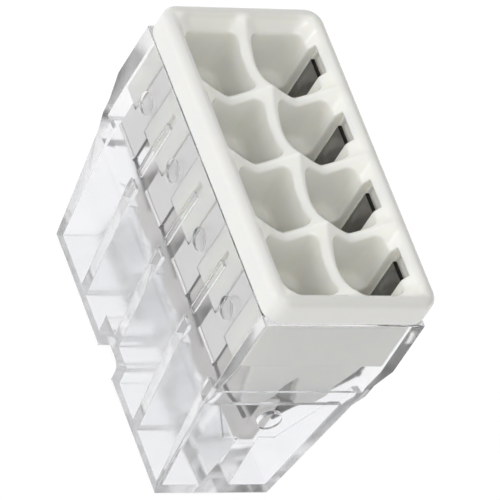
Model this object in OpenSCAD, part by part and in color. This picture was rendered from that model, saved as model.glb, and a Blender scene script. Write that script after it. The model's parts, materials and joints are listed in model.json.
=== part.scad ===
/* [Ports] */
// Distance between neighbouring wire ports in a row
pitch = 4; // [3.8:0.05:4.6]
// Distance between the two rows of ports
row_pitch = 3.55; // [3.5:0.05:4]
// Diameter of the round wire guide under each pocket
port_d = 2.8; // [2.6:0.05:2.85]
// Half length of the rounded pocket under each funnel, along the row
pocket_half_l = 1.73; // [1.65:0.01:1.75]
// Half width of the rounded pocket under each funnel, across the rows
pocket_half_w = 1.45; // [1.43:0.01:1.5]
// Corner radius of the pocket
pocket_corner = 0.6; // [0.4:0.05:0.8]
// Radius of a funnel where it meets the entry face
funnel_r = 2.67; // [2.6:0.01:2.72]
// Radius of the funnel's round bowl
bowl_r = 2.9; // [2.8:0.05:3.2]

/* [Entry cover] */
// Height of the whole connector, from rear face to entry face
total_h = 16; // [15.5:0.1:18]
// Thickness of the cover's flange
flange_t = 1.6; // [1.4:0.05:2]
// Width of the flat rim round the field of funnels
rim_w = 0.55; // [0.45:0.05:0.7]
// Rounding of the flange's upright corners
flange_corner = 0.9; // [0.5:0.1:1.2]
// Rounding of the flange's upper edge
flange_round = 0.5; // [0.2:0.05:0.55]
// Depth of the cover's body below its flange
skirt_h = 3.6; // [3.4:0.1:4]
// Depth of the tapered wire guides below the cover's body
tongue_h = 3.4; // [2.6:0.1:3.5]
// Thickness of a wire guide
tongue_t = 0.56; // [0.4:0.02:0.6]

/* [Clear housing] */
// Wall of the housing round the cover, at the long sides
side_wall = 0.35; // [0.3:0.01:0.45]
// Wall of the housing round the cover, at the ends
end_wall = 0.75; // [0.6:0.05:1]
// Thickness of the walls between the wire chambers
partition_t = 0.6; // [0.4:0.05:0.7]
// Setback of the rear face's ends from the cover's body
rear_inset_l = 0.35; // [0.25:0.05:0.45]
// Reach of the rear face past the centre of a row
rear_reach_w = 1.325; // [1.25:0.025:1.5]
// Thickness of the floor at the rear
floor_t = 0.5; // [0.4:0.05:0.7]
// Half width of the ridge under the bus bar, at the floor
ridge_half_w = 0.77; // [0.65:0.01:0.85]
// Width of the groove across the rear face
groove_w = 2.1; // [1.5:0.1:2.4]
// Depth of the groove across the rear face
groove_h = 1.2; // [0.6:0.1:1.2]
// Diameter of the round dimples in the long sides
dimple_d = 1.15; // [0.8:0.05:1.4]
// Diameter of the round boss on one end
boss_d = 1.2; // [0.8:0.05:1.3]

/* [Springs] */
// Thickness of the spring strip
strip_t = 0.22; // [0.16:0.02:0.24]
// Width of the spring strip inside the cover
leg_w = 1.3; // [1:0.05:1.4]
// Distance of the spring strip behind the pocket's wall
leg_setback = 0.375; // [0.34:0.005:0.4]
// Distance of the spring's upper end below the entry face
leg_drop = 1.22; // [1.1:0.02:1.5]
// Width of the clamping leaf
leaf_w = 2.1; // [1.6:0.1:2.2]
// Lean of the clamping leaf from the upright, with no wire in
leaf_angle = 40; // [36:1:42]
// Distance of the leaf's bend below the cover's body
bend_drop = 1.6; // [1.4:0.05:1.7]

/* [Bus bar] */
// Thickness of the bus bar between the rows
bar_t = 1; // [0.8:0.05:1.1]
// Height of the bus bar
bar_h = 3.4; // [3:0.1:3.5]
// Gap between the bus bar's ends and the housing
bar_end_gap = 0.15; // [0.1:0.05:0.3]

/* [Fits] */
// Running gap between the cover and the housing
fit_gap = 0.05; // [0.03:0.01:0.08]
// Gap between a leaf's bend and its leg
bend_gap = 0.05; // [0.04:0.01:0.08]
// Gap between a resting leaf's edge and the bus bar
tip_gap = 0.1; // [0.05:0.01:0.2]
// Play of the bus bar in its seats
bar_gap = 0.03; // [0.02:0.01:0.06]

/* [Hidden] */
$fn = 48;
eps = 0.02;
// Pole centres along the length
cols = [-1.5 * pitch, -0.5 * pitch, 0.5 * pitch, 1.5 * pitch];
// Row centres across the width
rows = [-row_pitch / 2, row_pitch / 2];
port_r = port_d / 2;
// Heights of the flange's underside, the cover's underside and the guides' ends
flange_z = total_h - flange_t;
skirt_z = flange_z - skirt_h;
tongue_z = skirt_z - tongue_h;
// Height of a funnel bowl's centre, above the entry face
bowl_z = total_h + sqrt(bowl_r * bowl_r - funnel_r * funnel_r);
// Length of the round wire guide, and height of the pocket's floor above it
guide_h = 1.6;
pocket_floor = skirt_z + guide_h;
// Reach of the pocket's corners, and the height where the funnel is as wide
pocket_reach = norm([pocket_half_l - pocket_corner, pocket_half_w - pocket_corner]) + pocket_corner;
pocket_top = bowl_z - sqrt(bowl_r * bowl_r - pocket_reach * pocket_reach) + 0.05;
bend_z = skirt_z - bend_drop;
// Spring strip: its faces stand behind the wire pockets
leg_in = row_pitch / 2 + pocket_half_w + leg_setback;
leg_out = leg_in + strip_t;
leg_mid = (leg_in + leg_out) / 2;
leg_top = total_h - leg_drop;
slot_w = leg_w + 0.3;
slot_top = total_h - 0.45;
// Half sizes of the cover's body, the housing's inside and its outside
skirt_half_w = leg_out + 0.05;
skirt_half_l = 2 * pitch;
in_half_w = skirt_half_w + fit_gap;
in_half_l = skirt_half_l + fit_gap;
out_half_w = in_half_w + side_wall;
out_half_l = in_half_l + end_wall;
flange_half_w = out_half_w + 0.08;
flange_half_l = out_half_l + 0.05;
housing_top = flange_z - fit_gap;
// Outer face of the wire guides at the ends
tongue_end = skirt_half_l - 0.25;
// Edges of a wire guide at the cover's body and at its tip, and its shoulder between them
tongue_in = bar_t / 2 + 0.34;
tongue_out = leg_in - 0.5;
tongue_taper = 0.1;
shoulder_h = 0.3;
tip_in = bar_t / 2 + 0.36;
tip_out = row_pitch / 2 + 0.17;
// Upper end of the fork between the wire guides at an end
fork_z = tongue_z + 2.3;
// Floor of the housing's space for the wire guides, and the bend of its long sides just below
guide_z = tongue_z - 0.15;
waist_z = guide_z - 0.25;
// Half width of that space, and the height where the wider socket above it begins
guide_half_w = leg_in - 0.05;
socket_z = bend_z - 0.6;
// Foot of the collar and of the chamfer below it, and the chamfer's reach at the ends and sides
collar_z = skirt_z + 0.1;
chamfer_z = skirt_z - 1.5;
chamfer_l = 0.4;
chamfer_w = 0.08;
// Upper and lower edge of the step in the housing's ends
step_z = guide_z + 1.2;
step_low = guide_z + 0.05;
// Lean of the housing's ends below the step, and setback of its long sides at their bend
end_lean = 0.4;
waist_w = 0.26;
// Half sizes of the rear face
rear_half_l = skirt_half_l - rear_inset_l;
rear_half_w = row_pitch / 2 + rear_reach_w;
// Half length of the lower chambers and half widths of their slanted walls
low_half_l = rear_half_l - 0.35;
low_w0 = rear_half_w - 0.3;
low_w1 = leg_in + 0.05;
// Bus bar, its seat and the notch above it
bar_half_l = low_half_l - bar_end_gap;
bar_z = tongue_z - fit_gap - bar_h;
seat_z = bar_z - bar_gap;
seat_half = bar_t / 2 + bar_gap;
notch_z = bar_z + 0.45;
notch_half = 1.4;
notch_end_z = bend_z - 0.2;
notch_over = 0.12;
// Rounding of the bus bar's upper edges
bar_round = 0.3;
// Guide ribs of the housing: width, thickness, play in the cover's grooves, inner face and upper end
rib_w = 0.34;
rib_t = 0.3;
rib_gap = 0.06;
rib_in = skirt_half_w - 0.15;
rib_drop = 1;
rib_top = housing_top - rib_drop - 0.55;
// Dimples in the long sides: distance below the flange, and depth
dimple_drop = 2.4;
dimple_depth = 0.16;
// Boss on one end: height of its centre, and reach past the wall's foot
boss_z = guide_z - 0.9;
boss_reach = 0.6;
groove_round = 0.4;
rim_corner = 1;
// Overrun of a cut past the face that it leaves
over = 1;
bend_r = strip_t / 2 + 0.05;
leaf_l = (leg_mid - bar_t / 2 - tip_gap - strip_t / 2 * cos(leaf_angle)) / sin(leaf_angle);
CLEAR = [0.86, 0.91, 0.94, 0.45];
IVORY = [0.90, 0.89, 0.85];
STEEL = [0.46, 0.46, 0.47];
TINNED = [0.72, 0.71, 0.69];

// Outline in plan with rounded corners
module rounded_plan(hl, hw, r) {
  union() {
    translate([-hl + r, -hw])
      square([2 * (hl - r), 2 * hw]);
    translate([-hl, -hw + r])
      square([2 * hl, 2 * (hw - r)]);
    for (sx = [-1, 1], sy = [-1, 1])
      translate([sx * (hl - r), sy * (hw - r)])
        circle(r);
  }
}

// Flat outline drawn in (y, z) and carried along x from x0 to x1
module along_x(x0, x1) {
  translate([x0, 0, 0])
    rotate([90, 0, 90])
      linear_extrude(x1 - x0)
        children();
}

// Flat outline drawn in (x, z) and carried across the width
module across_y(hw) {
  translate([0, hw, 0])
    rotate([90, 0, 0])
      linear_extrude(2 * hw)
        children();
}

// Mirror-symmetric polygon from the points of its right half
module both_sides(p) {
  n = len(p);
  polygon(concat(p, [for (i = [n - 1:-1:0]) [-p[i][0], p[i][1]]]));
}

// Side outline of the housing: collar, chamfer, step and lower body
module housing_side() {
  both_sides([
    [rear_half_l, 0],
    [rear_half_l + end_lean, step_low],
    [out_half_l - chamfer_l - eps, step_z],
    [out_half_l - chamfer_l, chamfer_z],
    [out_half_l, collar_z],
    [out_half_l, housing_top]
  ]);
}

// End outline of the housing: upright collar over tapered walls
module housing_end() {
  both_sides([
    [rear_half_w, 0],
    [out_half_w - waist_w, waist_z],
    [out_half_w - chamfer_w, chamfer_z],
    [out_half_w, collar_z],
    [out_half_w, housing_top]
  ]);
}

// Outline of a pair of wire chambers, either side of the ridge that carries the bus bar.
// It leaves room for a leaf pressed outward.
module chamber_end() {
  both_sides([
    [seat_half, seat_z],
    [ridge_half_w, floor_t],
    [low_w0, floor_t],
    [low_w1, waist_z],
    [in_half_w, waist_z + 1],
    [in_half_w, skirt_z]
  ]);
}

// Notch through the partitions for the bus bar and the wire guides
module notch_end() {
  both_sides([
    [seat_half, seat_z],
    [seat_half, notch_z],
    [notch_half, notch_z],
    [in_half_w, notch_end_z],
    [in_half_w, skirt_z]
  ]);
}

// Groove across the rear face, with a rounded roof
module groove_side() {
  r = groove_round;
  translate([-groove_w / 2, -over])
    square([groove_w, groove_h + over - r]);
  translate([-groove_w / 2 + r, 0])
    square([groove_w - 2 * r, groove_h]);
  for (sx = [-1, 1])
    translate([sx * (groove_w / 2 - r), groove_h - r])
      circle(r);
}

module clear_housing() {
  color(CLEAR)
    union() {
      difference() {
        union() {
          intersection() {
            across_y(out_half_w + over)
              housing_side();
            along_x(-out_half_l - over, out_half_l + over)
              housing_end();
          }
          // Round boss on one end
          translate([rear_half_l, 0, boss_z])
            rotate([0, 90, 0])
              cylinder(h = boss_reach, d = boss_d);
        }
        // Socket for the cover, and for the wire guides below it
        translate([-in_half_l, -in_half_w, socket_z])
          cube([2 * in_half_l, 2 * in_half_w, total_h]);
        translate([-tongue_end - fit_gap, -guide_half_w, guide_z])
          cube([2 * (tongue_end + fit_gap), 2 * guide_half_w, total_h]);
        // Four pairs of wire chambers with the partitions left between them
        difference() {
          for (c = cols)
            along_x(
              max(c - (pitch - partition_t) / 2, -low_half_l),
              min(c + (pitch - partition_t) / 2, low_half_l)
            )
              chamber_end();
          translate([-groove_w / 2 - floor_t, -out_half_w, -over])
            cube([groove_w + 2 * floor_t, 2 * out_half_w, groove_h + floor_t + over]);
        }
        along_x(-low_half_l - notch_over, low_half_l + notch_over)
          notch_end();
        across_y(out_half_w)
          groove_side();
        // Round dimples in both long sides, one beside each pole
        for (c = cols, sy = [-1, 1])
          translate([c, sy * (out_half_w + over), flange_z - dimple_drop])
            rotate([sy * 90, 0, 0])
              cylinder(h = over + dimple_depth, d = dimple_d);
      }
      // Guide ribs that run in the cover's grooves
      for (i = [0:2], sy = [-1, 1])
        translate([(cols[i] + cols[i + 1]) / 2 - rib_w / 2, sy > 0 ? rib_in : -rib_in - rib_t, bend_z])
          cube([rib_w, rib_t, rib_top - bend_z]);
    }
}

// Funnels, pockets and spring slots that are cut from the cover
module ports() {
  intersection() {
    for (c = cols, r = rows)
      translate([c, r, bowl_z])
        sphere(bowl_r);
    translate([0, 0, pocket_floor])
      linear_extrude(total_h)
        rounded_plan(flange_half_l - rim_w, flange_half_w - rim_w, rim_corner);
  }
  for (c = cols, r = rows)
    translate([c, r, pocket_floor])
      linear_extrude(pocket_top - pocket_floor)
        rounded_plan(pocket_half_l, pocket_half_w, pocket_corner);
  for (c = cols, r = rows)
    translate([c, r, skirt_z - eps])
      cylinder(h = guide_h + 2 * eps, r = port_r);
  for (c = cols, sy = [-1, 1])
    translate([c - slot_w / 2, sy > 0 ? row_pitch / 2 : -in_half_w, skirt_z - over])
      cube([slot_w, in_half_w - row_pitch / 2, slot_top - skirt_z + over]);
}

// Flange with rounded upright corners and a rounded upper edge
module flange_solid() {
  r = flange_round;
  c = flange_corner;
  translate([0, 0, flange_z])
    linear_extrude(flange_t - r)
      rounded_plan(flange_half_l, flange_half_w, c);
  translate([0, 0, flange_z])
    linear_extrude(flange_t)
      rounded_plan(flange_half_l - r, flange_half_w - r, c - r);
  for (sy = [-1, 1])
    translate([0, sy * (flange_half_w - r), total_h - r])
      rotate([0, 90, 0])
        cylinder(h = 2 * (flange_half_l - c), r = r, center = true);
  for (sx = [-1, 1])
    translate([sx * (flange_half_l - r), 0, total_h - r])
      rotate([90, 0, 0])
        cylinder(h = 2 * (flange_half_w - c), r = r, center = true);
  for (sx = [-1, 1], sy = [-1, 1])
    translate([sx * (flange_half_l - c), sy * (flange_half_w - c), total_h - r])
      rotate_extrude()
        union() {
          square([c - r + eps, r]);
          intersection() {
            translate([c - r, 0])
              circle(r);
            square([c + 1, r + 1]);
          }
        }
}

// One pair of tapered wire guides, either side of the bus bar
module tongues(x0) {
  along_x(x0, x0 + tongue_t)
    for (s = [-1, 1])
      polygon([
        [s * tongue_in, skirt_z + eps],
        [s * tongue_out, skirt_z + eps],
        [s * (tongue_out - tongue_taper), skirt_z - shoulder_h],
        [s * tip_out, tongue_z],
        [s * tip_in, tongue_z]
      ]);
}

// Wire guides at an end, past the bus bar: they join over a V-shaped fork
module end_tongues(x0) {
  along_x(x0, x0 + tongue_t)
    polygon([
      [0, fork_z],
      [tip_in, tongue_z],
      [tip_out, tongue_z],
      [tongue_out - tongue_taper, skirt_z - shoulder_h],
      [tongue_out, skirt_z + eps],
      [-tongue_out, skirt_z + eps],
      [tongue_taper - tongue_out, skirt_z - shoulder_h],
      [-tip_out, tongue_z],
      [-tip_in, tongue_z]
    ]);
}

module entry_cover() {
  color(IVORY)
    difference() {
      union() {
        flange_solid();
        translate([-skirt_half_l, -skirt_half_w, skirt_z])
          cube([2 * skirt_half_l, 2 * skirt_half_w, skirt_h + eps]);
        end_tongues(-tongue_end);
        end_tongues(tongue_end - tongue_t);
        for (i = [0:2])
          tongues((cols[i] + cols[i + 1]) / 2 - tongue_t / 2);
      }
      ports();
      // Grooves between the poles for the housing's guide ribs
      for (i = [0:2], sy = [-1, 1])
        translate([
          (cols[i] + cols[i + 1]) / 2 - rib_w / 2 - rib_gap,
          sy > 0 ? rib_in - rib_gap : -rib_in + rib_gap - over,
          skirt_z - over
        ])
          cube([rib_w + 2 * rib_gap, over, flange_z - rib_drop - skirt_z + over]);
    }
}

module bus_bar() {
  color(TINNED)
    translate([-bar_half_l, 0, bar_z])
      rotate([90, 0, 90])
        linear_extrude(2 * bar_half_l)
          union() {
            translate([-bar_t / 2, 0])
              square([bar_t, bar_h - bar_round]);
            translate([-bar_t / 2 + bar_round, 0])
              square([bar_t - 2 * bar_round, bar_h]);
            for (s = [-1, 1])
              translate([s * (bar_t / 2 - bar_round), bar_h - bar_round])
                circle(bar_round);
          }
}

// Fixed leg of one spring, with shoulders under the cover and a hollow end
module spring_leg(c, s) {
  color(STEEL)
    difference() {
      union() {
        translate([c - leg_w / 2, s > 0 ? leg_in : -leg_out, bend_z])
          cube([leg_w, strip_t, leg_top - bend_z]);
        translate([c - leaf_w / 2, s > 0 ? leg_in : -leg_out, bend_z])
          cube([leaf_w, strip_t, skirt_z - fit_gap - bend_z]);
      }
      translate([c, s * leg_mid, bend_z])
        rotate([0, 90, 0])
          cylinder(h = leaf_w + 1, r = bend_r + bend_gap, center = true);
    }
}

// Moving leaf of one spring, from its round bend down to the clamping edge
module clamp_leaf(c, s) {
  color(STEEL)
    translate([c, s * leg_mid, bend_z])
      rotate([-s * leaf_angle, 0, 0])
        union() {
          rotate([0, 90, 0])
            cylinder(h = leaf_w, r = bend_r, center = true);
          translate([-leaf_w / 2, -strip_t / 2, -leaf_l])
            cube([leaf_w, strip_t, leaf_l]);
        }
}

clear_housing();
entry_cover();
bus_bar();
spring_leg(cols[0], -1);  // spring_leg_l1
spring_leg(cols[1], -1);  // spring_leg_l2
spring_leg(cols[2], -1);  // spring_leg_l3
spring_leg(cols[3], -1);  // spring_leg_l4
spring_leg(cols[0], 1);  // spring_leg_r1
spring_leg(cols[1], 1);  // spring_leg_r2
spring_leg(cols[2], 1);  // spring_leg_r3
spring_leg(cols[3], 1);  // spring_leg_r4
clamp_leaf(cols[0], -1);  // clamp_leaf_l1
clamp_leaf(cols[1], -1);  // clamp_leaf_l2
clamp_leaf(cols[2], -1);  // clamp_leaf_l3
clamp_leaf(cols[3], -1);  // clamp_leaf_l4
clamp_leaf(cols[0], 1);  // clamp_leaf_r1
clamp_leaf(cols[1], 1);  // clamp_leaf_r2
clamp_leaf(cols[2], 1);  // clamp_leaf_r3
clamp_leaf(cols[3], 1);  // clamp_leaf_r4
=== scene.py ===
import json
import math

import bmesh
import bpy
import numpy as np
from bpy.props import FloatProperty, FloatVectorProperty, PointerProperty
from mathutils import Matrix, Vector


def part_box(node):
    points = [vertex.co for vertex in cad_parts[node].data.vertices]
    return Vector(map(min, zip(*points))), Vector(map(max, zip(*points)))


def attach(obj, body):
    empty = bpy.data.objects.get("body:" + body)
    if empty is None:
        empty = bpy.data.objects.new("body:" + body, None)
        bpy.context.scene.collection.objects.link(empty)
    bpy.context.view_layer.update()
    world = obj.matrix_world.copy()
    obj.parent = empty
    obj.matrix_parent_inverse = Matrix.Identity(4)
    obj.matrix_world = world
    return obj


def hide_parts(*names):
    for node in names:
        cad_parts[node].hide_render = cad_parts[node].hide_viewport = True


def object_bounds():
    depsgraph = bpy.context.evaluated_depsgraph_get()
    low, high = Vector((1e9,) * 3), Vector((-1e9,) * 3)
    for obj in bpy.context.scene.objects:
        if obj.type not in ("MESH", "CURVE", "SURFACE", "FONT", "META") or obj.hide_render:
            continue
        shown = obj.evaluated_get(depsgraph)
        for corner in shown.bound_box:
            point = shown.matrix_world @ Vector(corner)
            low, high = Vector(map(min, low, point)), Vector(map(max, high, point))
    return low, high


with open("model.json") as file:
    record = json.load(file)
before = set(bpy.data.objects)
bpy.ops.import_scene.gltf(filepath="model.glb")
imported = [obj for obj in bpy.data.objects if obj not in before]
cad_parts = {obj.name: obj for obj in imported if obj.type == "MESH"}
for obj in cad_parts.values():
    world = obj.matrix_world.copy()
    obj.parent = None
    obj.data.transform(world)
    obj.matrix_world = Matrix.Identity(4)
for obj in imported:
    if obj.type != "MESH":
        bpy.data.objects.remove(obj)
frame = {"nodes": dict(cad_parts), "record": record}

bl_info = {
    "name": "Push-in Wire Connector",
    "version": (1, 0, 0),
    "blender": (4, 5, 0),
    "location": "View3D > Sidebar > Connector",
    "description": "Builds the looks of a clear push-in wire connector round its fixed solids",
    "category": "Object",
}

MM = 0.001
CAD_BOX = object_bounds()
POLES = ("1", "2", "3", "4")
ROWS = ("l", "r")
COVER_LOW, COVER_HIGH = (np.array(corner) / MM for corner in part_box("entry_cover"))
ENTRY_FACE = float(COVER_HIGH[2])

# Blends and overlaps inside the cover's field, in millimetres
FLANGE_UNDER = 0.2
SKIRT_CORNER = 0.15
SKIRT_EDGE = 0.08
SKIRT_OVERLAP = 1.0
NECK_BLEND = 0.1
THROAT_FLOOR = 0.4
GUIDE_BLEND = 0.2
TONGUE_OVERLAP = 0.3
TONGUE_TIP = 0.15
TONGUE_SIDE = 0.12
CUT_BLEND = 0.1

# The cover's grid: cells beyond its box, passes that settle its points, and shares of the grid's spacing
GRID_MARGIN = 2
SETTLE_PASSES = 3
SLOPE_REACH = 0.1
LONGEST_MOVE = 0.5
NORMAL_REACH = 0.3
# Least squared slope and least length that the settling divides by
LEAST_SQUARE = 0.05
LEAST_LENGTH = 1e-9

# Rounding of the other pieces: lengths in metres, angles in degrees
WELD_REACH = 0.000002
OUTER_REACH = 0.0005
TOP_BAND = 0.00001
FLAT_ANGLE = 0.5
SHARP_ANGLE = 18.0
SPLIT_ANGLE = 35.0
# Share of a face's width, or of an edge's length, that a round may take
ROOM_SHARE = 0.35
# Edges run on in one line where the cosine between their ways from a corner is below this
RUN_ON = -0.75
# Square millimetres in a square metre
SQUARE_MM = 1e6

# Bands of the finishes, in millimetres: foot of the collar, below which the housing is painted greyer as
# painted shade, width and fades of the rim's painted shade, and the painted shadow gap along the strips'
# edges
COLLAR_FOOT = 8.5
RIM_BAND, RIM_FADE, RIM_FOOT_FADE = 0.75, 0.3, 0.2
GAP_SHADOW_BAND, GAP_SHADOW_FADE = 0.08, 0.04

# Brightness of the studio at the horizon and overhead, and how soon it rises between them
SKY_LOW, SKY_HIGH, SKY_RISE = 0.34, 0.76, 1.6
SKY_STRENGTH = 0.95
# Direction, inner and outer half angle in degrees, and depth of each dark card
DARK_CARDS = (
    ((0.25, 0.95, 0.2), 10.0, 26.0, 0.95),
)
# Places and sides of the two soft lights, and the point that they face
KEY_PLACE, KEY_SIDE = (-0.1, -0.38, 0.14), 0.2
GLINT_PLACE, GLINT_SIDE = (0.224, -0.173, 0.253), 0.03
LIGHT_AIM = (0.0, 0.0, 0.008)
# Half side of the floor, and its drop below the part, which keeps the two faces apart
FLOOR_HALF = 1.5
FLOOR_DROP = 0.00002


def port_centres():
    """Plan positions of the wire ports, in millimetres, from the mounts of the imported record."""
    ports = [m["pos_m"] for m in frame["record"]["mounts"] if m["name"].startswith("wire_port")]
    return [(p[0] / MM, p[1] / MM) for p in ports]


def rib_places():
    """Places along the row midway between neighbouring ports, in millimetres."""
    columns = sorted({round(cx, 6) for cx, _ in port_centres()})
    return tuple((a + b) / 2.0 for a, b in zip(columns, columns[1:]))


RIB_PLACES = rib_places()


def size_mm(name, description, default):
    """A size of the cover, in millimetres or as its description says."""
    return FloatProperty(name=name, description=description, default=default, min=0.0)


def length_m(name, description, default):
    """A length property in metres."""
    return FloatProperty(name=name, description=description, unit="LENGTH", default=default)


def turn_deg(name, description, degrees):
    """An angle property, its default given in degrees."""
    return FloatProperty(name=name, description=description, subtype="ANGLE", default=math.radians(degrees))


def shade(name, description, default):
    """A colour property."""
    return FloatVectorProperty(name=name, description=description, subtype="COLOR", size=3, default=default)


class CoverSizes(bpy.types.PropertyGroup):
    """Sizes of the moulded entry cover, in millimetres."""

    flange_t: size_mm("Flange thickness", "From the entry face down", 1.6)
    flange_corner: size_mm("Flange corner", "Rounding of the upright corners", 0.9)
    flange_round: size_mm("Flange rounding", "Rounding of the upper edge", 0.45)
    skirt_h: size_mm("Skirt height", "Depth of the body below the flange", 3.6)
    skirt_in_l: size_mm("Skirt setback at the ends", "From the flange's edge", 0.85)
    skirt_in_w: size_mm("Skirt setback at the sides", "From the flange's edge", 0.48)
    bowl_depth: size_mm("Bowl depth", "Lowest point of a funnel's bowl below the entry face", 1.8)
    bowl_along: size_mm("Bowl curve along", "Rise per squared distance along the row", 0.2)
    bowl_across: size_mm("Bowl curve across", "Rise per squared distance across the rows", 0.06)
    bowl_vee: size_mm("Bowl slope across", "Rise per distance across the rows, on top of its curve", 0.5)
    bowl_tip: size_mm("Bowl tip", "Distance over which the two slopes blend", 0.15)
    rim_half_l: size_mm("Rim half length", "Inner edge of the rim", 8.32)
    rim_half_w: size_mm("Rim half width", "Inner edge of the rim", 3.78)
    rim_corner: size_mm("Rim corner", "Inner corner radius of the rim", 1.0)
    rim_slope: size_mm("Rim slope", "Inward lean of the rim's inner wall per depth", 0.74)
    throat_half_l: size_mm("Throat half length", "Along the row", 1.73)
    throat_half_w: size_mm("Throat half width", "Across the rows", 1.45)
    throat_corner: size_mm("Throat corner", "Corner radius", 0.6)
    throat_round: size_mm("Throat rounding", "Blend at the throat's edge", 0.08)
    guide_r: size_mm("Guide radius", "Round wire guide under the throat", 1.4)
    guide_h: size_mm("Guide height", "Length of the round wire guide", 1.6)
    slot_half: size_mm("Slot half width", "Slot for a spring leg", 0.8)
    slot_in: size_mm("Slot setback", "From the flange's edge to the slot's back", 0.43)
    slot_drop: size_mm("Slot drop", "From the entry face to the slot's roof", 0.45)
    seat_half: size_mm("Seat half width", "Where the spring leg itself stands", 0.67)
    seat_depth: size_mm("Seat depth", "From the slot's back inwards", 0.24)
    rib_half: size_mm("Rib groove half width", "Groove for a guide rib of the housing", 0.23)
    rib_in: size_mm("Rib groove setback", "From the flange's edge to the groove's bottom", 0.69)
    rib_drop: size_mm("Rib groove drop", "From the flange's underside to the groove's end", 1.0)
    tongue_half: size_mm("Wire guide half thickness", "Tapered guides under the body", 0.28)
    tongue_end: size_mm("End guide place", "Middle of the guides at the ends", 7.47)
    tongue_in: size_mm("Wire guide inner edge", "Half gap between the guides of a pair", 0.85)
    tongue_out: size_mm("Wire guide outer edge", "At the body", 3.1)
    tongue_taper: size_mm("Wire guide taper", "Loss of width down to the tip", 1.155)
    fork_h: size_mm("Fork height", "V-shaped gap between the guides at an end", 2.3)
    ridge_round: size_mm("Ridge rounding", "Blend between bowls", 0.12)
    edge_round: size_mm("Edge rounding", "Blend at the entry face", 0.16)
    grid: size_mm("Grid", "Spacing of the cover's mesh", 0.1)


class EdgeSizes(bpy.types.PropertyGroup):
    """Rounding of the edges of the pieces that keep their CAD shape."""

    housing_outer: length_m("Housing outside", "Rounds of the housing's outer edges", 0.00022)
    housing_inner: length_m("Housing inside", "Rounds of the housing's inner edges", 0.00006)
    strip: length_m("Strip", "Rounds of the spring strips", 0.00004)
    bar: length_m("Bar", "Rounds of the bus bar", 0.00006)


class Finishes(bpy.types.PropertyGroup):
    """Colours of the finishes."""

    ivory: shade("Ivory", "Entry cover", (0.93, 0.925, 0.868))
    # Painted shade: mixed into the outer band of the flange to make the rim greyer.
    rim: shade("Rim", "Entry cover's rim, greyed by painted_shade", (0.74, 0.74, 0.718))
    clear: shade("Clear", "Housing's collar", (0.996, 0.998, 1.0))
    # Painted shade: the housing's lower body is painted greyer than its collar.
    lower_body_shade: shade("Shaded", "Housing's lower body", (0.952, 0.957, 0.968))
    # Kept dark as painted reflection on the strips' inner faces; their outer faces are painted 2.3 times
    # brighter.
    steel: shade("Steel", "Springs", (0.3, 0.295, 0.295))
    tin: shade("Tin", "Bus bar", (0.62, 0.60, 0.58))
    floor: shade("Floor", "Stage", (0.15, 0.15, 0.15))


class StageSizes(bpy.types.PropertyGroup):
    """Place of the camera, and power of the lights."""

    azimuth: turn_deg("Azimuth", "Of the camera, from +X", -44.09)
    elevation: turn_deg("Elevation", "Of the camera", 42.25)
    roll: turn_deg("Roll", "Of the camera about its view", 33.7)
    distance: length_m("Distance", "Camera to object", 0.3866)
    lens: FloatProperty(name="Lens", description="Focal length in millimetres", unit="CAMERA",
                        default=588.4)
    aim_right: length_m("Aim right", "Of the origin", 0.00424)
    aim_up: length_m("Aim up", "Above the origin", 0.00536)
    key_power: FloatProperty(name="Key", description="Wide light from the left", unit="POWER",
                             default=0.58)
    glint_power: FloatProperty(name="Glint", description="Small light near the camera", unit="POWER",
                               default=0.15)


class Wire:
    """A shader socket that takes part in Python expressions, each adding a Math node."""

    def __init__(self, tree, socket):
        self.tree = tree
        self.socket = socket

    def math(self, operation, *values):
        return Graph(self.tree).node("ShaderNodeMath", {"operation": operation}, dict(enumerate(values)))

    def __add__(self, other):
        return self.math("ADD", self, other)

    def __sub__(self, other):
        return self.math("SUBTRACT", self, other)

    def __mul__(self, other):
        return self.math("MULTIPLY", self, other)

    def __truediv__(self, other):
        return self.math("DIVIDE", self, other)

    def __radd__(self, other):
        return self.math("ADD", other, self)

    def __rsub__(self, other):
        return self.math("SUBTRACT", other, self)

    def __rmul__(self, other):
        return self.math("MULTIPLY", other, self)

    def __rtruediv__(self, other):
        return self.math("DIVIDE", other, self)

    def __abs__(self):
        return self.math("ABSOLUTE", self)

    def highest(self, other):
        return self.math("MAXIMUM", self, other)

    def clamp(self):
        return self.math("MINIMUM", self.highest(0.0), 1.0)


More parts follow.
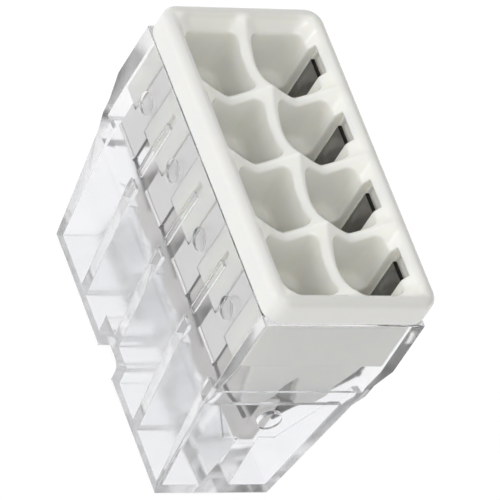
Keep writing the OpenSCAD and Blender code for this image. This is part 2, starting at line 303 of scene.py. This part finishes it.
class Graph:
    """A node tree with one method that adds any node."""

    def __init__(self, tree):
        self.tree = tree

    def node(self, kind, settings=None, values=None, out=0):
        """One node: its type, its settings, the values or links of its sockets, and the output to use."""
        node = self.tree.nodes.new(kind)
        for key, value in (settings or {}).items():
            setattr(node, key, value)
        for key, value in (values or {}).items():
            socket = node.inputs[key]
            if isinstance(value, Wire):
                self.tree.links.new(value.socket, socket)
            else:
                socket.default_value = value
        return Wire(self.tree, node.outputs[out])

    def position(self):
        """The surface point."""
        return self.node("ShaderNodeNewGeometry")

    def facing(self):
        """The surface normal."""
        return self.node("ShaderNodeNewGeometry", out=1)

    def part(self, vector, axis):
        """One axis of a vector, 0 to 2."""
        return self.node("ShaderNodeSeparateXYZ", None, {0: vector}, out=axis)

    def place_mm(self, axis):
        """One axis of the surface point, in millimetres."""
        return self.part(self.position(), axis) / MM

    def noise(self, scale, detail, rough, vector=None):
        """Noise at the surface point, or at another vector."""
        values = {"Vector": vector or self.position(), "Scale": scale, "Detail": detail, "Roughness": rough}
        return self.node("ShaderNodeTexNoise", None, values)

    def stretched(self, *scales):
        """The surface point with each axis scaled, for marks that run along one direction."""
        return self.node("ShaderNodeVectorMath", {"operation": "MULTIPLY"}, {0: self.position(), 1: scales})

    def mix(self, factor, a, b):
        """Two colours mixed by a factor. The Mix node's colour sockets are 6 and 7, its colour output 2."""
        a, b = (colour if isinstance(colour, Wire) else (*colour, 1.0) for colour in (a, b))
        return self.node("ShaderNodeMix", {"data_type": "RGBA"}, {0: factor, 6: a, 7: b}, out=2)

    def bump(self, height, strength, distance):
        """A normal for fine relief."""
        values = {"Height": height, "Strength": strength, "Distance": distance}
        return self.node("ShaderNodeBump", None, values)


def principled(name, constants, build):
    """A material with one Principled shader. build(graph) gives its varying sockets."""
    material = bpy.data.materials.new(name)
    material.use_nodes = True
    tree = material.node_tree
    shader = tree.nodes["Principled BSDF"]
    for key, value in constants.items():
        shader.inputs[key].default_value = value
    for key, wire in build(Graph(tree)).items():
        tree.links.new(wire.socket, shader.inputs[key])
    return material


def tint(colour, factor):
    """A colour made darker or lighter."""
    return tuple(min(1.0, c * factor) for c in colour)


def clear_plastic(colour, lower_body_shade):
    """Clear moulded plastic: faint flow lines, fine wear in the gloss and its thicker lower body painted
    greyer, as painted shade.
    """

    def build(g):
        flow = g.noise(scale=900.0, detail=3.0, rough=0.55, vector=g.stretched(1.0, 1.0, 0.25))
        wear = g.noise(scale=5200.0, detail=4.0, rough=0.6)
        # Painted shade: below the collar's foot the housing's colour turns greyer.
        collar = (g.place_mm(2) - COLLAR_FOOT).clamp()
        return {
            "Base Color": g.mix(collar, g.mix(flow, lower_body_shade, tint(lower_body_shade, 1.015)), colour),
            "Roughness": 0.085 + 0.07 * wear,
            "Normal": g.bump(flow * 0.7 + wear * 0.3, strength=0.05, distance=0.00002),
        }

    return principled("clear_plastic", {"IOR": 1.49, "Transmission Weight": 1.0}, build)


def ivory_plastic(colour, greyed, flange_low):
    """Ivory moulded plastic: soft gloss, faint mottling, a fine texture and the rim painted greyer, as
    painted shade.
    """

    def build(g):
        mottle = g.noise(scale=700.0, detail=3.0, rough=0.5)
        grain = g.noise(scale=9000.0, detail=3.0, rough=0.6)
        x, y, z = (g.place_mm(axis) for axis in range(3))
        edge = (abs(x) - float(COVER_HIGH[0])).highest(abs(y) - float(COVER_HIGH[1]))
        # Painted shade: the outer band of the flange, above its underside, turns towards the greyer rim
        # colour.
        rim = ((edge + RIM_BAND) / RIM_FADE).clamp() * ((z - flange_low) / RIM_FOOT_FADE).clamp()
        mottled_ivory = g.mix(mottle, tint(colour, 0.98), tint(colour, 1.03))
        return {
            "Base Color": g.mix(rim, mottled_ivory, greyed),
            "Roughness": 0.15 + 0.07 * mottle + 0.05 * grain,
            "Normal": g.bump(grain, strength=0.12, distance=0.00002),
        }

    constants = {"IOR": 1.5, "Subsurface Weight": 0.4, "Subsurface Scale": 0.0012,
                 "Subsurface Radius": (1.0, 0.85, 0.6)}
    return principled("ivory_plastic", constants, build)


def rolled_steel(colour, strip):
    """Spring strip: rolling marks along it, a temper stain, a painted shadow gap at its edges, and painted
    reflection: dark inner faces and a bright outer face.

    The box of one strip gives the place of the painted shadow gap at its edges. The others follow at the
    pitch of the poles.
    """
    (left, _, _), (right, _, top) = ([place / MM for place in corner] for corner in strip)
    middle, half_width = (left + right) / 2.0, (right - left) / 2.0
    half_pitch = (RIB_PLACES[1] - RIB_PLACES[0]) / 2.0

    def build(g):
        marks = g.noise(scale=1.0, detail=2.0, rough=0.6, vector=g.stretched(14000.0, 900.0, 900.0))
        stain = g.noise(scale=600.0, detail=2.0, rough=0.5)
        x, y, z = (g.place_mm(axis) for axis in range(3))
        # Painted reflection: faces that turn away from the middle are painted bright, inner faces keep the
        # dark steel colour.
        outward = (g.part(g.facing(), 1) * y).clamp()
        across = abs(x.math("WRAP", x - middle, half_pitch, -half_pitch))
        # Painted shadow gap: a thin band along the strip's sides and top is painted near black.
        painted_edge_shadow = (((across - half_width).highest(z - top) + GAP_SHADOW_BAND) / GAP_SHADOW_FADE).clamp()
        dark = g.mix(stain, tint(colour, 0.5), tint(colour, 1.3))
        return {
            "Base Color": g.mix(outward, g.mix(painted_edge_shadow, dark, tint(colour, 0.1)), tint(colour, 2.3)),
            "Roughness": 0.08 + 0.14 * marks + 0.2 * outward,
            "Normal": g.bump(marks, strength=0.1, distance=0.00001),
        }

    return principled("rolled_steel", {"Metallic": 1.0}, build)


def tinned_copper(colour):
    """Matt tin plating with a soft orange-peel surface."""

    def build(g):
        peel = g.noise(scale=2600.0, detail=3.0, rough=0.5)
        stain = g.noise(scale=500.0, detail=2.0, rough=0.5)
        return {
            "Base Color": g.mix(stain, tint(colour, 0.85), tint(colour, 1.08)),
            "Roughness": 0.32 + 0.18 * peel,
            "Normal": g.bump(peel, strength=0.2, distance=0.00001),
        }

    return principled("tinned_copper", {"Metallic": 1.0}, build)


def pale_floor(colour):
    """Plain pale studio floor with barely uneven colour."""

    def build(g):
        cloud = g.noise(scale=30.0, detail=2.0, rough=0.5)
        return {"Base Color": g.mix(cloud, tint(colour, 0.99), colour)}

    constants = {"Roughness": 0.8, "Specular IOR Level": 0.1, "Emission Color": (1.0, 1.0, 1.0, 1.0),
                 "Emission Strength": 0.92}
    return principled("pale_floor", constants, build)


def soft_min(a, b, width):
    """The lesser of two fields, blended over a width."""
    blend = np.maximum(width - np.abs(a - b), 0.0) / width
    return np.minimum(a, b) - blend * blend * width * 0.25


def soft_max(a, b, width):
    """The greater of two fields, blended over a width."""
    return -soft_min(-a, -b, width)


def plan_box(x, y, half_l, half_w, corner):
    """Signed distance in plan to an upright rounded rectangle about the origin."""
    dx = np.abs(x) - half_l + corner
    dy = np.abs(y) - half_w + corner
    outside = np.hypot(np.maximum(dx, 0.0), np.maximum(dy, 0.0))
    return outside + np.minimum(np.maximum(dx, dy), 0.0) - corner


def slab(value, low, high):
    """Signed distance to the range from low to high along one axis."""
    return np.maximum(low - value, value - high)


def rounded_stack(plan, height, radius):
    """What lies inside both a plan field and a height field, with its edges rounded."""
    a, b = plan + radius, height + radius
    outside = np.hypot(np.maximum(a, 0.0), np.maximum(b, 0.0))
    return outside + np.minimum(np.maximum(a, b), 0.0) - radius


def shell_field(x, y, z, sizes):
    """Flange and body of the cover before anything is cut from them."""
    half_l, half_w = COVER_HIGH[0], COVER_HIGH[1]
    flange_low = ENTRY_FACE - sizes.flange_t
    plan = plan_box(x, y, half_l, half_w, sizes.flange_corner)
    flange = rounded_stack(plan, slab(z, flange_low - sizes.flange_round, ENTRY_FACE), sizes.flange_round)
    flange = soft_max(flange, flange_low - z, FLANGE_UNDER)
    plan = plan_box(x, y, half_l - sizes.skirt_in_l, half_w - sizes.skirt_in_w, SKIRT_CORNER)
    height = slab(z, flange_low - sizes.skirt_h, flange_low + SKIRT_OVERLAP)
    return soft_min(flange, rounded_stack(plan, height, SKIRT_EDGE), NECK_BLEND)


def lead_in_field(x, y, z, sizes):
    """Space of the eight bowls inside the rim, joined over the low ridges between them."""
    bowls = None
    for cx, cy in port_centres():
        px, py = x - cx, y - cy
        vee = np.hypot(py, sizes.bowl_tip)
        rise = sizes.bowl_along * px ** 2 + sizes.bowl_across * py ** 2
        rise = rise + sizes.bowl_vee * (vee - sizes.bowl_tip)
        slope = py * (2.0 * sizes.bowl_across + sizes.bowl_vee / vee)
        steep = np.sqrt(1.0 + (2.0 * sizes.bowl_along * px) ** 2 + slope ** 2)
        bowl = (ENTRY_FACE - sizes.bowl_depth + rise - z) / steep
        bowls = bowl if bowls is None else soft_min(bowls, bowl, sizes.ridge_round)
    rim = plan_box(x, y, sizes.rim_half_l, sizes.rim_half_w, sizes.rim_corner)
    rim = (rim + (ENTRY_FACE - z) * sizes.rim_slope) / math.hypot(1.0, sizes.rim_slope)
    return soft_max(bowls, rim, sizes.throat_round)


def throat_field(px, py, z, sizes):
    """Space of one throat and of the round wire guide under it."""
    floor = ENTRY_FACE - sizes.flange_t - sizes.skirt_h + sizes.guide_h
    throat = plan_box(px, py, sizes.throat_half_l, sizes.throat_half_w, sizes.throat_corner)
    throat = soft_max(throat, floor - z, THROAT_FLOOR)
    return soft_min(throat, np.hypot(px, py) - sizes.guide_r, GUIDE_BLEND)


def tongue_field(x, y, z, sizes):
    """Tapered wire guides under the body, in pairs either side of the bus bar."""
    low = float(COVER_LOW[2])
    high = ENTRY_FACE - sizes.flange_t - sizes.skirt_h
    across = np.abs(y)
    depth = np.clip((high - z) / (high - low), 0.0, 1.0)
    taper = across - sizes.tongue_out + sizes.tongue_taper * depth
    outline = soft_max(taper, slab(z, low, high + TONGUE_OVERLAP), TONGUE_TIP)
    fork = sizes.tongue_in * (1.0 - (z - low) / sizes.fork_h) - across
    ends = np.maximum(fork, np.abs(np.abs(x) - sizes.tongue_end) - sizes.tongue_half)
    nearest = np.min([np.abs(x - place) for place in RIB_PLACES], axis=0)
    middles = np.maximum(sizes.tongue_in - across, nearest - sizes.tongue_half)
    return soft_max(outline, np.minimum(ends, middles), TONGUE_SIDE)


def cover_field(x, y, z, sizes):
    """Signed distance, in millimetres, to the moulded entry cover."""
    half_w = COVER_HIGH[1]
    flange_low = ENTRY_FACE - sizes.flange_t
    back = half_w - sizes.slot_in
    ports = lead_in_field(x, y, z, sizes)
    cuts = np.full_like(x, np.inf)
    for cx, cy in port_centres():
        px, py = x - cx, y - cy
        ports = soft_min(ports, throat_field(px, py, z, sizes), sizes.throat_round)
        outward = math.copysign(1.0, cy) * y
        slot = np.maximum(np.abs(px) - sizes.slot_half, slab(outward, abs(cy), back - sizes.seat_depth))
        seat = np.maximum(np.abs(px) - sizes.seat_half, slab(outward, abs(cy), back))
        cuts = np.minimum(cuts, np.maximum(np.minimum(slot, seat), z - ENTRY_FACE + sizes.slot_drop))
    for place in RIB_PLACES:
        groove = np.maximum(np.abs(x - place) - sizes.rib_half, half_w - sizes.rib_in - np.abs(y))
        cuts = np.minimum(cuts, np.maximum(groove, z - flange_low + sizes.rib_drop))
    body = soft_max(shell_field(x, y, z, sizes), -ports, sizes.edge_round)
    body = soft_max(body, -cuts, CUT_BLEND)
    return np.minimum(body, tongue_field(x, y, z, sizes))


def crossings(values, inside):
    """Sum and count of the places where the surface crosses the edges of each cell of a grid."""
    cells = tuple(np.array(values.shape) - 1)
    total = np.zeros((*cells, 3))
    count = np.zeros(cells)
    corners = [(i, j, k) for i in (0, 1) for j in (0, 1) for k in (0, 1)]
    for axis in range(3):
        for corner in (c for c in corners if c[axis] == 0):
            far = tuple(c + (n == axis) for n, c in enumerate(corner))
            near_cut = tuple(slice(c, c + m) for c, m in zip(corner, cells))
            far_cut = tuple(slice(c, c + m) for c, m in zip(far, cells))
            a, b = values[near_cut], values[far_cut]
            crossed = inside[near_cut] != inside[far_cut]
            share = np.where(crossed, a / np.where(crossed, a - b, 1.0), 0.0)
            for n in range(3):
                place = np.full(cells, float(corner[n])) + (share if n == axis else 0.0)
                total[..., n] += np.where(crossed, place, 0.0)
            count += crossed
    return total, count


def surface_quads(inside, index):
    """A quad round each edge of the grid that the surface crosses, wound to face outwards."""
    quads = []
    for axis in range(3):
        u, v = [n for n in range(3) if n != axis]
        keep = [slice(1, -1)] * 3
        keep[axis] = slice(0, -1)
        ahead = [slice(1, -1)] * 3
        ahead[axis] = slice(1, None)
        first, second = inside[tuple(keep)], inside[tuple(ahead)]
        for crossed, flip in ((first & ~second, axis == 1), (~first & second, axis != 1)):
            at = np.argwhere(crossed)
            at[:, u] += 1
            at[:, v] += 1
            ring = []
            for du, dv in ((-1, -1), (0, -1), (0, 0), (-1, 0)):
                cell = at.copy()
                cell[:, u] += du
                cell[:, v] += dv
                ring.append(index[tuple(cell.T)])
            quad = np.stack(ring, axis=1)
            quads.append(quad[:, ::-1] if flip else quad)
    return np.concatenate(quads)


def field_mesh(name, field, low, high, step):
    """Mesh of a field's zero surface: one vertex in each cell that it crosses, set on the surface."""
    before, after = GRID_MARGIN * step, (GRID_MARGIN + 0.5) * step
    axes = [np.arange(a - before, b + after, step) for a, b in zip(low, high)]
    values = field(*np.meshgrid(*axes, indexing="ij"))
    inside = values < 0.0
    total, count = crossings(values, inside)
    used = count > 0
    if not used.any():
        raise RuntimeError(name + " has no surface")
    index = np.full(count.shape, -1)
    index[used] = np.arange(used.sum())
    start = np.array([a[0] for a in axes])
    points = (np.argwhere(used) + total[used] / count[used][:, None]) * step + start
    faces = surface_quads(inside, index)
    points, normals = settle(points, field, step)
    mesh = bpy.data.meshes.new(name)
    mesh.from_pydata((points * MM).tolist(), [], faces.tolist())
    mesh.validate()
    mesh.shade_smooth()
    mesh.normals_split_custom_set_from_vertices(normals.tolist())
    return mesh


def slope_of(points, field, reach):
    """Gradient of a field at points."""
    gradient = np.zeros_like(points)
    for n in range(3):
        nudge = np.zeros(3)
        nudge[n] = reach
        gradient[:, n] = field(*(points + nudge).T) - field(*(points - nudge).T)
    return gradient / (2.0 * reach)


def settle(points, field, step):
    """Points moved onto a field's zero surface, and the surface's normals there."""
    for _ in range(SETTLE_PASSES):
        gradient = slope_of(points, field, step * SLOPE_REACH)
        square = np.maximum((gradient ** 2).sum(axis=1), LEAST_SQUARE)
        move = gradient * (field(*points.T) / square)[:, None]
        length = np.maximum(np.linalg.norm(move, axis=1), LEAST_LENGTH)[:, None]
        points = points - move * np.minimum(1.0, LONGEST_MOVE * step / length)
    normals = slope_of(points, field, step * NORMAL_REACH)
    return points, normals / np.maximum(np.linalg.norm(normals, axis=1), LEAST_LENGTH)[:, None]


def place_piece(name, mesh, body, slot, material, *nodes):
    """A finished piece on its body, standing for CAD nodes."""
    piece = bpy.data.objects.new(name, mesh)
    bpy.context.collection.objects.link(piece)
    mesh.materials.clear()
    mesh.materials.append(material)
    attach(piece, body)
    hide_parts(*nodes)


def slimness(face):
    """Rough width of a face across its longest edge."""
    return face.calc_area() / max(edge.calc_length() for edge in face.edges)


def is_outer(face, points):
    """Whether nothing of the shape stands far beyond a face's plane."""
    ahead = (points - np.array(face.calc_center_median())) @ np.array(face.normal)
    return bool(ahead.max() < OUTER_REACH)


def even_out(shape, rounding):
    """Give edges that run on in nearly one line the least of their rounds, so that no corner spikes out."""
    lines = []
    for vert in shape.verts:
        edges = [edge for edge in vert.link_edges if edge in rounding]
        ways = [(edge.other_vert(vert).co - vert.co).normalized() for edge in edges]
        lines += [(edges[i], edges[j]) for i in range(len(edges)) for j in range(i)
                  if ways[i].dot(ways[j]) < RUN_ON]
    changed = True
    while changed:
        changed = False
        for a, b in lines:
            least = min(rounding[a], rounding[b])
            changed = changed or max(rounding[a], rounding[b]) > least
            rounding[a] = rounding[b] = least


def edge_rounds(shape, outer, inner):
    """The round of each sharp edge, no more than its faces leave room for.

    Edges round the top get the inner round, because the cover's flange sits on them.
    """
    points = np.array([v.co for v in shape.verts])
    top = points[:, 2].max() - TOP_BAND
    room = {face: slimness(face) * ROOM_SHARE for face in shape.faces}
    outside = {face: is_outer(face, points) for face in shape.faces}
    rounding = {}
    for edge in shape.edges:
        faces = edge.link_faces
        if len(faces) == 2 and edge.calc_face_angle(0.0) > math.radians(SHARP_ANGLE):
            seated = all(vert.co.z > top for vert in edge.verts)
            widest = outer if all(outside[face] for face in faces) and not seated else inner
            rounding[edge] = min(widest, edge.calc_length() * ROOM_SHARE, *(room[face] for face in faces))
    even_out(shape, rounding)
    return rounding


def bevelled(node, sharp, width, segments):
    """A copy of a mesh with its edges bevelled by their weights."""
    holder = bpy.data.objects.new(node + "_holder", sharp)
    bpy.context.collection.objects.link(holder)
    rounds = holder.modifiers.new("rounds", "BEVEL")
    rounds.limit_method = "WEIGHT"
    rounds.width = width
    rounds.segments = segments
    rounds.use_clamp_overlap = False
    rounds.loop_slide = False
    mesh = bpy.data.meshes.new_from_object(holder.evaluated_get(bpy.context.evaluated_depsgraph_get()))
    mesh.name = node + "_eased"
    bpy.data.objects.remove(holder)
    return mesh


def flat_led_normals(shape):
    """Normals for each corner of each face, led by the largest face there, so that flat walls stay flat."""
    limit = math.cos(math.radians(SPLIT_ANGLE))
    areas = {face: face.calc_area() for face in shape.faces}
    normals = []
    for face in shape.faces:
        for loop in face.loops:
            total = Vector((0.0, 0.0, 0.0))
            for other in loop.vert.link_faces:
                if other.normal.dot(face.normal) > limit:
                    total += other.normal * (areas[other] * SQUARE_MM) ** 2
            normals.append(total.normalized() if total.length > 0.0 else face.normal.copy())
    return normals


def eased_mesh(node, outer, inner, segments=2):
    """A node's own shape with its sharp edges rounded."""
    shape = bmesh.new()
    shape.from_mesh(frame["nodes"][node].data)
    bmesh.ops.remove_doubles(shape, verts=shape.verts, dist=WELD_REACH)
    flat = math.radians(FLAT_ANGLE)
    bmesh.ops.dissolve_limit(shape, angle_limit=flat, verts=shape.verts, edges=shape.edges)
    weight = shape.edges.layers.float.new("bevel_weight_edge")
    for edge, width in edge_rounds(shape, outer, inner).items():
        edge[weight] = width / outer
    sharp = bpy.data.meshes.new(node + "_sharp")
    shape.to_mesh(sharp)
    shape.free()
    mesh = bevelled(node, sharp, outer, segments)
    bpy.data.meshes.remove(sharp)
    shape = bmesh.new()
    shape.from_mesh(mesh)
    bmesh.ops.recalc_face_normals(shape, faces=shape.faces)
    normals = flat_led_normals(shape)
    shape.to_mesh(mesh)
    shape.free()
    mesh.shade_smooth()
    mesh.normals_split_custom_set(normals)
    return mesh


class CONNECTOR_OT_cover(bpy.types.Operator):
    """Make the ivory entry cover with its eight funnel ports"""

    bl_idname = "connector.cover"
    bl_label = "Entry cover"

    def execute(self, context):
        sizes = context.scene.connector_cover
        mesh = field_mesh("entry_cover_moulded", lambda x, y, z: cover_field(x, y, z, sizes),
                          COVER_LOW, COVER_HIGH, sizes.grid)
        finishes = context.scene.connector_finishes
        material = ivory_plastic(finishes.ivory, finishes.rim, ENTRY_FACE - sizes.flange_t)
        place_piece("entry_cover_moulded", mesh, "base", "ivory", material, "entry_cover")
        return {"FINISHED"}


class CONNECTOR_OT_housing(bpy.types.Operator):
    """Make the clear housing"""

    bl_idname = "connector.housing"
    bl_label = "Clear housing"

    def execute(self, context):
        rounds = context.scene.connector_edges
        mesh = eased_mesh("clear_housing", rounds.housing_outer, rounds.housing_inner, segments=3)
        finishes = context.scene.connector_finishes
        material = clear_plastic(finishes.clear, finishes.lower_body_shade)
        place_piece("clear_housing_moulded", mesh, "base", "clear", material, "clear_housing")
        return {"FINISHED"}


class CONNECTOR_OT_springs(bpy.types.Operator):
    """Make the eight leaf springs, each a fixed leg and a moving leaf"""

    bl_idname = "connector.springs"
    bl_label = "Leaf springs"

    def execute(self, context):
        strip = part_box("spring_leg_" + ROWS[0] + POLES[0])
        material = rolled_steel(context.scene.connector_finishes.steel, strip)
        width = context.scene.connector_edges.strip
        for tag in (row + pole for row in ROWS for pole in POLES):
            leg, leaf = "spring_leg_" + tag, "clamp_leaf_" + tag
            for node, body in ((leg, "base"), (leaf, "leaf_" + tag)):
                mesh = eased_mesh(node, width, width)
                place_piece(node + "_strip", mesh, body, "spring_steel", material, node)
        return {"FINISHED"}


class CONNECTOR_OT_bar(bpy.types.Operator):
    """Make the tinned bus bar between the rows"""

    bl_idname = "connector.bar"
    bl_label = "Bus bar"

    def execute(self, context):
        material = tinned_copper(context.scene.connector_finishes.tin)
        width = context.scene.connector_edges.bar
        mesh = eased_mesh("bus_bar", width, width)
        place_piece("bus_bar_tinned", mesh, "base", "tinned", material, "bus_bar")
        return {"FINISHED"}


def aim_camera(stage):
    """Camera at the given angles, rolled about its view."""
    back = Vector((math.cos(stage.elevation) * math.cos(stage.azimuth),
                   math.cos(stage.elevation) * math.sin(stage.azimuth),
                   math.sin(stage.elevation)))
    level = Vector((-math.sin(stage.azimuth), math.cos(stage.azimuth), 0.0))
    rise = back.cross(level)
    right = level * math.cos(stage.roll) + rise * math.sin(stage.roll)
    up = back.cross(right)
    place = right * stage.aim_right + up * stage.aim_up + back * stage.distance
    data = bpy.data.cameras.new("camera")
    data.lens = stage.lens
    data.sensor_width = 36.0
    data.clip_start = 0.01
    data.clip_end = 20.0
    camera = bpy.data.objects.new("camera", data)
    turn = Matrix((right, up, back)).transposed()
    camera.matrix_world = Matrix.Translation(place) @ turn.to_4x4()
    bpy.context.collection.objects.link(camera)
    bpy.context.scene.camera = camera


def soft_light(name, place, side, power):
    """A square area light that faces the part."""
    data = bpy.data.lights.new(name, "AREA")
    data.size = side
    data.energy = power
    light = bpy.data.objects.new(name, data)
    light.location = place
    light.rotation_euler = (Vector(LIGHT_AIM) - Vector(place)).to_track_quat("-Z", "Y").to_euler()
    bpy.context.collection.objects.link(light)


def studio_sky():
    """World light: a white room with dark cards that draw the clear edges."""
    world = bpy.data.worlds.new("studio")
    bpy.context.scene.world = world
    world.use_nodes = True
    tree = world.node_tree
    g = Graph(tree)
    direction = g.node("ShaderNodeTexCoord")
    height = g.part(direction, 2)
    light = SKY_LOW + (SKY_HIGH - SKY_LOW) * (height.clamp() * SKY_RISE).clamp()
    for aim, inner, outer, depth in DARK_CARDS:
        toward = g.node("ShaderNodeVectorMath", {"operation": "DOT_PRODUCT"},
                        {0: direction, 1: Vector(aim).normalized()}, out=1)
        near, far = math.cos(math.radians(inner)), math.cos(math.radians(outer))
        card = ((toward - far) / (near - far)).clamp()
        light = light * (1.0 - depth * card)
    background = tree.nodes["Background"]
    tree.links.new(light.socket, background.inputs["Color"])
    background.inputs["Strength"].default_value = SKY_STRENGTH


def lay_floor(colour):
    """The floor just under the part."""
    mesh = bpy.data.meshes.new("floor")
    shape = bmesh.new()
    bmesh.ops.create_grid(shape, x_segments=2, y_segments=2, size=FLOOR_HALF)
    shape.to_mesh(mesh)
    shape.free()
    mesh.materials.append(pale_floor(colour))
    floor = bpy.data.objects.new("floor", mesh)
    floor.location = (0.0, 0.0, CAD_BOX[0][2] - FLOOR_DROP)
    bpy.context.scene.collection.objects.link(floor)


class CONNECTOR_OT_stage(bpy.types.Operator):
    """Make the floor, the soft lights and the camera"""

    bl_idname = "connector.stage"
    bl_label = "Stage"

    def execute(self, context):
        scene = context.scene
        stage = scene.connector_stage
        aim_camera(stage)
        studio_sky()
        lay_floor(scene.connector_finishes.floor)
        soft_light("key", KEY_PLACE, KEY_SIDE, stage.key_power)
        soft_light("glint", GLINT_PLACE, GLINT_SIDE, stage.glint_power)
        scene.view_settings.view_transform = "Standard"
        scene.cycles.max_bounces = 32
        scene.cycles.glossy_bounces = 10
        scene.cycles.transmission_bounces = 24
        return {"FINISHED"}


class CONNECTOR_PT_panel(bpy.types.Panel):
    """Lists the pieces of the connector"""

    bl_idname = "CONNECTOR_PT_panel"
    bl_label = "Wire connector"
    bl_space_type = "VIEW_3D"
    bl_region_type = "UI"
    bl_category = "Connector"

    def draw(self, context):
        for operator in OPERATORS:
            self.layout.operator(operator.bl_idname)


GROUPS = {"connector_cover": CoverSizes, "connector_edges": EdgeSizes, "connector_finishes": Finishes,
          "connector_stage": StageSizes}
OPERATORS = (CONNECTOR_OT_cover, CONNECTOR_OT_housing, CONNECTOR_OT_springs, CONNECTOR_OT_bar,
             CONNECTOR_OT_stage)
CLASSES = (*GROUPS.values(), *OPERATORS, CONNECTOR_PT_panel)


def register():
    """Add the classes, and one group of properties of each kind to the scene."""
    for cls in CLASSES:
        bpy.utils.register_class(cls)
    for name, group in GROUPS.items():
        setattr(bpy.types.Scene, name, PointerProperty(type=group))


def unregister():
    """Undo what register adds."""
    for name in GROUPS:
        delattr(bpy.types.Scene, name)
    for cls in reversed(CLASSES):
        bpy.utils.unregister_class(cls)


def main():
    """Build every piece and the stage."""
    register()
    bpy.ops.connector.cover()
    bpy.ops.connector.housing()
    bpy.ops.connector.springs()
    bpy.ops.connector.bar()
    bpy.ops.connector.stage()


if __name__ == "__main__":
    main()
